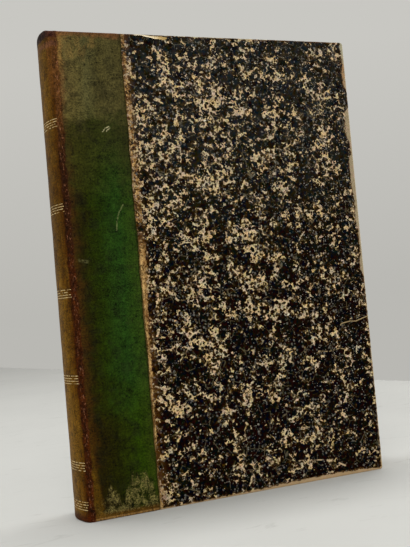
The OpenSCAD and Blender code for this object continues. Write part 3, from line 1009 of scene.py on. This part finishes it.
class Marbled(Look):
    """Black and buff shell marbling, with the paper worn to pale card along its edges."""

    def __init__(self):
        super().__init__("marbled_paper", Specular_IOR_Level=0.02)
        self.place = self.object_place()
        self.x, self.y, self.z = split(self.place)
        self.clouds = noise(scale(self.place, (1, 1, 0.85)), 14, 2, 0.5, 0.5)
        self.tufts = noise(self.moved(11, 0, 5), 4.0, 3, 0.6, 0.5)
        self.crumbs = noise(self.moved(0, 8, 31), 1.5, 2, 0.6)
        self.flecks = noise(self.moved(4, 1, 7), 1.0, 2, 0.6)

    def moved(self, x, y, z):
        return shift(self.place, (x, y, z))

    def pattern(self):
        """Round black drops of four sizes over buff, and the share of buff left between them."""
        bent = noise_vector(noise_vector(self.place, 5.0, 0.9), 1.3, 0.2)
        lean = band(self.z, 30, 230) * 0.03 + 0.018 + band(self.x, 183, 40) * 0.025
        lean -= band(self.z, 250, 266) * 0.05
        lean -= band(self.z, 232, 242) * band(self.x, 56, 44) * 0.06
        lean += band(self.x, 46, 40) * band(self.z, 152, 166) * 0.06
        load = self.clouds * 0.52 + self.tufts * 0.76
        room = band(load + lean, 0.835, 0.545)
        clear = 1.5
        for size, smallest, varies, grow in DROPS:
            gap = self.outside(shift(bent, (size, 2 * size, 0)), size, smallest, varies, room * grow)
            clear = least(clear, gap)
        clear += swing(self.crumbs, 0.25)
        share = band(clear, -0.06, 0.16)
        buff = mix(band(self.flecks, 0.34, 0.68), "#67533c", "#cbb18a")
        rim = near(clear, 0.3, 0.1, 0.3)
        buff = mix(rim * 0.3, buff, "#e4d3ad")
        return mix(share, self.ground(bent, clear), self.stained(buff)), share

    def outside(self, at, size, smallest, varies, swell):
        """Distance in millimetres beyond the nearest round drop, below 0 inside it."""
        chance = split(cells(at, size, output=1))[0]
        radius = smallest + chance * varies + swell
        return (cells(at, size) - radius) * size

    def stained(self, colour):
        """Yellow, rosy and grey tones of the buff."""
        warmth = swing(noise(self.place, 4.5, 4, 0.6), 0.9) + 0.06
        stain = shift(scale(self.warm(warmth), (0.4, 0.1, 0.7)), (1, 1, 1))
        stain = shift(stain, spread(self.moved(6, 6, 2), 1.6, 0.3))
        return mix(1.0, colour, stain, "MULTIPLY")

    def warm(self, value):
        """A shift from blue to red, the size of a value."""
        return vector(value, value, value * -1.0)

    def ground(self, bent, inside):
        """Black between the buff, with blue, green and brown tones, thin lines and grey drops."""
        patch = noise(self.moved(8, 3, 6), 5, 3, 0.6)
        halo = band(inside, -0.8, 0.0) * band(patch, 0.36, 0.58)
        colour = mix(halo * 0.75, "#010100", mix(self.crumbs, "#1a1005", "#5a4426"))
        grey = band(noise(self.moved(5, 5, 1), 6, 3, 0.6), 0.42, 0.58)
        beyond = self.outside(shift(bent, (1, 4, 2)), 1.8, -0.05, 0.35, 0.0)
        thread = band(cells(bent, 6.5, "DISTANCE_TO_EDGE"), 0.035, 0.01)
        warmth = swing(noise(self.moved(1, 7, 2), 2.0, 3, 0.6), 0.02)
        tone = scale(self.warm(warmth + 0.0022), (1.0, 0.1, 1.0))
        colour = layers(colour, [
            (band(beyond, 0.054, -0.054) * grey * 0.7, mix(self.flecks, "#2b2a29", "#98948c")),
            (near(beyond, 0.126, 0.036, 0.108) * grey * 0.5, "#8f8a80"),
            (thread * band(patch, 0.5, 0.58) * 0.38, "#7c735c")])
        return shift(shift(colour, tone), spread(self.moved(2, 2, 2), 2.0, 0.007))

    def specks(self, colour):
        """Pale grey spots, and a grey haze that grows towards the head: settled dirt and painted
        sheen.
        """
        at = noise_vector(self.moved(3, 1, 8), 1.2, 0.4)
        spots = cells(at, 1.7) + swing(self.crumbs, 0.2)
        # Painted sheen, with settled dirt: a grey haze over the colour that grows towards the head.
        dust_and_sheen = band(self.z, 100, 250) * 0.044 + 0.002
        return layers(colour, [
            (band(spots, 0.2, 0.08) * band(noise(self.place, 6, 2), 0.42, 0.56) * 0.8, "#aaa69c"),
            (band(noise(self.moved(7, 2, 9), 3.5, 4, 0.7), 0.3, 0.62) * dust_and_sheen, "#848b8e")])

    def fringe(self, colour):
        """Ragged mottled border beside the leather, wide above the middle and broken at the head."""
        width = ramp(self.z, 0, 270, [
            (0, 0.3), (14, 0.24), (17, 0.1), (28, 0.12), (44, 0.22), (72, 0.34), (95, 0.4),
            (117, 0.52), (134, 0.78), (150, 0.84), (152, 0.12), (159, 0.12), (162, 0.76),
            (174, 0.8), (182, 0.7), (205, 0.7), (235, 0.62), (241, 0.5), (270, 0.45)])
        width *= FRINGE_W
        from_leather = self.x - STRIP_W
        ragged = from_leather + swing(self.tufts, 1.5) + swing(self.crumbs, 1.8)
        share = band(width - ragged, -0.3, 0.35)
        broken = band(self.crumbs + swing(self.flecks, 0.4), 0.48, 0.57)
        share *= most(broken, band(self.z, 158, 146))
        mottle = noise(self.place, 1.1, 3, 0.7) + swing(noise(self.moved(2, 4, 2), 6, 3, 0.6), 0.42)
        tan = mix(band(mottle, 0.32, 0.64), "#3d2a10", "#cba468")
        tan = layers(tan, [
            (band(noise(self.moved(9, 9, 9), 2.2, 3, 0.7), 0.5, 0.6) * 0.7, "#7c5027"),
            # Painted shade: the paper's first millimetre beside the leather is darkened like a
            # contact shadow.
            (band(from_leather + swing(self.crumbs, 0.9), 0.95, 0.4) * 0.75, "#332a0e"),
            (band(ragged - width * 0.55, -0.3, 0.5) * 0.45, "#5e3d1a")])
        return layers(colour, [
            (band(from_leather, 7.5, 1.5) * band(self.tufts, 0.36, 0.52) * 0.36, "#6a4420"),
            (share * band(self.flecks + share * 0.3, 0.54, 0.66) * 0.92, tan)])

    def worn_edges(self, colour):
        """Card that shows where the border is rubbed, a darker brown rim inside it, and a painted
        highlight on the fore-edge arris.
        """
        chips = swing(self.tufts, 0.7) + swing(self.crumbs, 0.75)
        margin = self.kept("margin") + chips
        share = band(margin, 0.14, -0.12)
        card = mix(noise(self.place, 1.9, 4, 0.7), "#b0a182", "#776548")
        card = layers(card, [
            (band(noise(self.place, 3.1, 2), 0.52, 0.72), "#a58c76"),
            (band(self.z, 8, 3) * 0.6, "#b5946a"),
            (near(self.z, 249, 6, 9) * band(self.crumbs, 0.3, 0.5) * 0.7, "#a0744a"),
            (band(self.z, 258, 264) * 0.6, "#a3a288"),
            # Painted highlight: the card is lightened along the fore-edge arris.
            (band(self.x, COVER_W - 0.7, COVER_W - 0.2) * 0.65, "#e8ddc4")])
        colour = layers(colour, [
            (near(margin, 0.35, 0.1, 0.7) * band(self.flecks, 0.4, 0.55) * 0.5, "#6b4a2c"),
            (share * 0.92, card)])
        return colour, share

    def marks(self, colour):
        """Creases, a pale crack near the fore-edge and a few paint specks on the front."""
        on_front = band(self.y, -14, -14.4)
        crack = strokes(self.x, self.z, [
            (163.5, 92.6), (170, 93.6), (174, 93.2), (179, 94.6), (184, 96)], 0.45)
        second = strokes(self.x, self.z, [(146, 77.4), (153, 76.4), (161, 77.6), (166, 76.2)], 0.4)
        third = strokes(self.x, self.z, [(126, 13.6), (134, 13), (142.5, 11.7)], 0.5)
        third *= band(self.flecks, 0.42, 0.5)
        third = most(third, strokes(self.x, self.z, [(145, 11.1), (147.6, 10.4)], 0.85))
        third = most(third, strokes(self.x, self.z, [(153, 8.2), (157, 6.1)], 0.75))
        specks = strokes(self.x, self.z, [(127.6, 101.2), (128.3, 101.6)], 0.6)
        specks = most(specks, strokes(self.x, self.z, [(84.5, 219.6), (85.2, 219.9)], 0.7))
        return layers(colour, [
            (most(crack, second * band(self.crumbs, 0.4, 0.55)) * on_front * 0.75, "#b39b70"),
            (third * on_front * 0.8, "#cfb38d"),
            (specks * on_front, "#d9d2bd")])

    def build(self):
        colour, buff_share = self.pattern()
        colour = self.fringe(self.specks(colour))
        colour, worn = self.worn_edges(self.marks(colour))
        wrinkles = noise(noise_vector(self.place, 20, 6), 17, 3, 0.55, 1.2)
        crease = near(wrinkles, 0.5, 0.0015, 0.006) * band(noise(self.place, 30, 1), 0.52, 0.6)
        relief = buff_share * 0.22 + self.crumbs * 0.35 - (crease * 1.2 + worn * 0.6)
        relief += wrinkles * 1.5
        roughness = 0.47 + (buff_share * 0.1 + worn * 0.35)
        # Painted shade darkens the crease lines.
        colour = mix(crease * 0.5, colour, "#0c0a08")
        return self.finish(colour, roughness, relief, 0.12)


def flake_look():
    """Torn paper: buff skin and paler fibres at the tear."""
    look = Look("torn_paper", Specular_IOR_Level=0.05)
    place = look.object_place()
    x = split(place)[0]
    fibres = noise(place, 0.8, 4, 0.75)
    colour = mix(band(x + swing(fibres, 9), 52, 64), "#d3c6a8", "#a98d55")
    colour = mix(band(fibres, 0.5, 0.7) * 0.5, colour, "#6f5934")
    return look.finish(colour, 0.8, fibres, 0.08)


def leaves_look():
    """Edges of old leaves: fine lines, dust at the head and brown stains."""
    look = Look("leaf_edges", Specular_IOR_Level=0.2)
    place = look.object_place()
    z = split(place)[2]
    lines = noise(scale(place, (0.04, 5.0, 0.04)), 1.0, 3, 0.7)
    bands = noise(scale(place, (0.02, 1.0, 0.02)), 1.4, 2, 0.6)
    colour = layers(mix(lines, "#7e6644", "#e0cfa6"), [
        (band(bands, 0.35, 0.65) * 0.45, "#a88a5c"),
        (band(noise(place, 24, 4, 0.6, 0.6), 0.5, 0.72) * 0.5, "#8a6a40"),
        (band(z, 266.2, 267) * 0.42, "#5f5240"),
        (below(least(z, HEIGHT - z), 3, 22) * 0.3, "#77593a"),
        (band(noise(shift(place, (5, 0, 2)), 2.2, 3, 0.7), 0.68, 0.74) * 0.6, "#6b4a28")])
    return look.finish(colour, 0.85, lines * 0.7 + bands * 0.5, 0.12)


def endleaf_look(name="endleaf_paper", stored=False):
    """Plain cream endpaper with brown spots and darker margins."""
    look = Look(name, Specular_IOR_Level=0.25)
    place = look.kept("rest", "Vector") if stored else look.object_place()
    x, _, z = split(place)
    clouds = noise(place, 45, 4, 0.55, 0.5)
    fibres = noise(place, 0.9, 3, 0.7)
    spots = noise(shift(place, (9, 2, 4)), 3.2, 4, 0.6)
    colour = mix(clouds, "#dccdaa", "#c2a877")
    colour = mix(band(spots, 0.66, 0.78) * 0.6, colour, "#a57a45")
    from_end = least(z, HEIGHT - z)
    from_side = least(LEAF_W - x, x + 4.0)
    margin = least(from_end, from_side) + swing(clouds, 12)
    browned = below(margin, 2, 22)
    if not stored:
        colour = mix(browned * 0.45, colour, "#a98656")
    colour = mix(fibres * 0.12, colour, "#8a7450")
    relief = fibres + noise(place, 14, 2) * 3.0
    return look.finish(colour, 0.8, relief, 0.05)


def gilt_look():
    """Old gold leaf, worn pale, with dull brown places."""
    look = Look("old_gold", Metallic=0.45, Specular_IOR_Level=0.3)
    place = look.object_place()
    dull = noise(place, 1.7, 3, 0.7)
    colour = mix(band(dull, 0.44, 0.64), "#d8c08a", "#94733a")
    roughness = 0.36 + dull * 0.3
    return look.finish(colour, roughness, noise(place, 0.35, 2), 0.03)


def silk_look():
    """Band sewn in two faded silks, wound in turn."""
    look = Look("sewn_silk", Specular_IOR_Level=0.4, Sheen_Weight=0.3)
    u, around = split(look.kept("rest", "Vector"))[:2]
    turn = sine(u, 2.5)
    colour = mix(band(turn, -0.1, 0.1), "#7d2c22", "#cdb88a")
    dirt = noise(vector(u, around), 1.5, 3, 0.6)
    return look.finish(mix(dirt * 0.45, colour, "#4a3826"), 0.55, sine(u, 0.21), 0.03)


def fibre_look(name, dark, pale, size, stretch=(1, 1, 1), roughness=0.85):
    """Card, cloth or hemp inside the spine and boards."""
    look = Look(name, Specular_IOR_Level=0.2)
    place = scale(look.object_place(), stretch)
    fibres = noise(place, size, 4, 0.7)
    clouds = noise(place, size * 14, 3, 0.6)
    colour = mix(fibres * 0.7 + clouds * 0.3, dark, pale)
    return look.finish(colour, roughness, fibres, 0.08)


def woven_look():
    """Coarse linen lining with crossing threads."""
    look = Look("linen_lining", Specular_IOR_Level=0.2)
    place = look.object_place()
    _, y, z = split(place)
    along = sine(z, 0.7)
    across = sine(y, 0.7)
    weave = along * 0.5 + across * 0.5
    tone = noise(place, 2, 4, 0.7) * 0.7 + weave * 0.15
    colour = mix(tone, "#8f825f", "#cfc3a0")
    return look.finish(colour, 0.9, weave, 0.1)


def floor_look():
    """Pale plain floor with faint scuffs."""
    look = Look("pale_floor", Specular_IOR_Level=0.3)
    at = scale(node("ShaderNodeTexCoord", {}, "Object", look.tree), (1 / MM,) * 3)
    clouds = noise(at, 180, 4, 0.6)
    scuffs = noise(scale(at, (0.3, 1, 1)), 14, 5, 0.7, 1.0)
    colour = mix(clouds, "#b2b2ae", "#bebeb9")
    colour = mix(band(scuffs, 0.58, 0.72) * 0.45, colour, "#9b9a95")
    return look.finish(colour, 0.75, scuffs, 0.02)


# Stage

def add_floor():
    """Plain floor, whose far edge is the level change behind the book."""
    outline = [(-FLOOR_REACH, -FLOOR_REACH), (FLOOR_REACH, -FLOOR_REACH), *FLOOR_EDGE]
    mesh = bpy.data.meshes.new("floor")
    mesh.from_pydata([(x, y, 0) for x, y in outline], [], [tuple(range(len(outline)))])
    mesh.materials.append(floor_look())
    link("floor", mesh)


def add_world():
    """Soft room light, and a pale grey background for the camera and for reflections."""
    world = bpy.data.worlds.new("studio")
    bpy.context.scene.world = world
    world.use_nodes = True
    tree = world.node_tree
    light = tree.nodes["Background"]
    put(light.inputs[0], (1.0, 0.99, 0.97, 1))
    put(light.inputs[1], 0.52)
    rising = split(node("ShaderNodeTexCoord", {}, "Generated", tree))[2]
    grey = ramp(rising, 0, 1, [(0, "#b9b8b3"), (0.3, "#c8c7c2")])
    seen = node("ShaderNodeBackground", {0: grey, 1: 1.0})
    seen_by = node("ShaderNodeLightPath", {}, "Is Camera Ray", tree)
    for ray in ("Is Glossy Ray", "Is Transmission Ray"):
        seen_by = most(seen_by, node("ShaderNodeLightPath", {}, ray, tree))
    shown = node("ShaderNodeMixShader", {0: seen_by, 1: Field(light.outputs[0]), 2: seen})
    put(tree.nodes["World Output"].inputs[0], shown)


def add_light(name, place, target, size, power):
    """Soft light of a width and height that faces a target."""
    data = bpy.data.lights.new(name, "AREA")
    data.shape = "RECTANGLE"
    data.size, data.size_y = size
    data.energy = power
    lamp = link(name, data)
    lamp.location = place
    lamp.rotation_mode = "QUATERNION"
    lamp.rotation_quaternion = (Vector(target) - Vector(place)).to_track_quat("-Z", "Y")


def add_studio():
    """Floor, background and soft lights."""
    add_floor()
    add_world()
    for light in LIGHTS:
        add_light(*light)


# Dressing

def give(piece, material):
    piece.data.materials.clear()
    piece.data.materials.append(material)


def dress_covers(leather, paper, joint_endpaper):
    """Leather, paper and joint strip of both covers."""
    for side, face in ((1, "front"), (-1, "back")):
        skin = leather_skin(face + "_leather_skin", side)
        give(skin, leather)
        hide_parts("spine_leather", face + "_leather")
        cover = face + "_cover"
        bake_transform(skin)
        sheet = side_paper(face + "_marbled_paper", side)
        give(sheet, paper)
        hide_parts(face + "_side_paper")
        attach(sheet, cover)
        if side > 0:
            flake = lifted_flake()
            give(flake, flake_look())
            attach(flake, cover)
        strip = joint_paper(face + "_joint_paper", side)
        give(strip, joint_endpaper)
        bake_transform(strip)


def dress_block():
    """Leaves, bands and gilding."""
    leaves = text_block()
    give(leaves, leaves_look())
    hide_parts("text_block")
    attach(leaves, "book_block")
    silk = silk_look()
    for name, low, up, solid in (("sewn_headband", LEAF_TOP, 1, "headband"),
                                 ("sewn_tailband", SQUARE, -1, "tailband")):
        sewn = head_band(name, low, up)
        give(sewn, silk)
        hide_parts(solid)
        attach(sewn, "book_block")
    gilt = gilt_ribbons()
    give(gilt, gilt_look())
    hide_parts("spine_gilding")
    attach(gilt, "book_block")


def dress_nodes():
    """Materials of the CAD pieces that are shown as they are."""
    endleaf = endleaf_look()
    looks = {"flyleaf": endleaf, "pastedown": endleaf,
             "board": fibre_look("grey_board", "#6f6654", "#a89c84", 0.9),
             "stiffener": fibre_look("spine_card", "#7d6a48", "#a8936a", 1.1),
             "lining": woven_look(),
             "cord": fibre_look("hemp_cord", "#8a7048", "#c9b080", 0.5, (1, 0.2, 1))}
    for name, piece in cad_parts.items():
        for word, look in looks.items():
            if word in name:
                give(piece, look)


def main():
    bpy.context.scene.view_settings.view_transform = "Standard"
    add_camera()
    add_studio()
    dress_covers(Leather().build(), Marbled().build(), endleaf_look("joint_endpaper", True))
    dress_block()
    dress_nodes()


main()
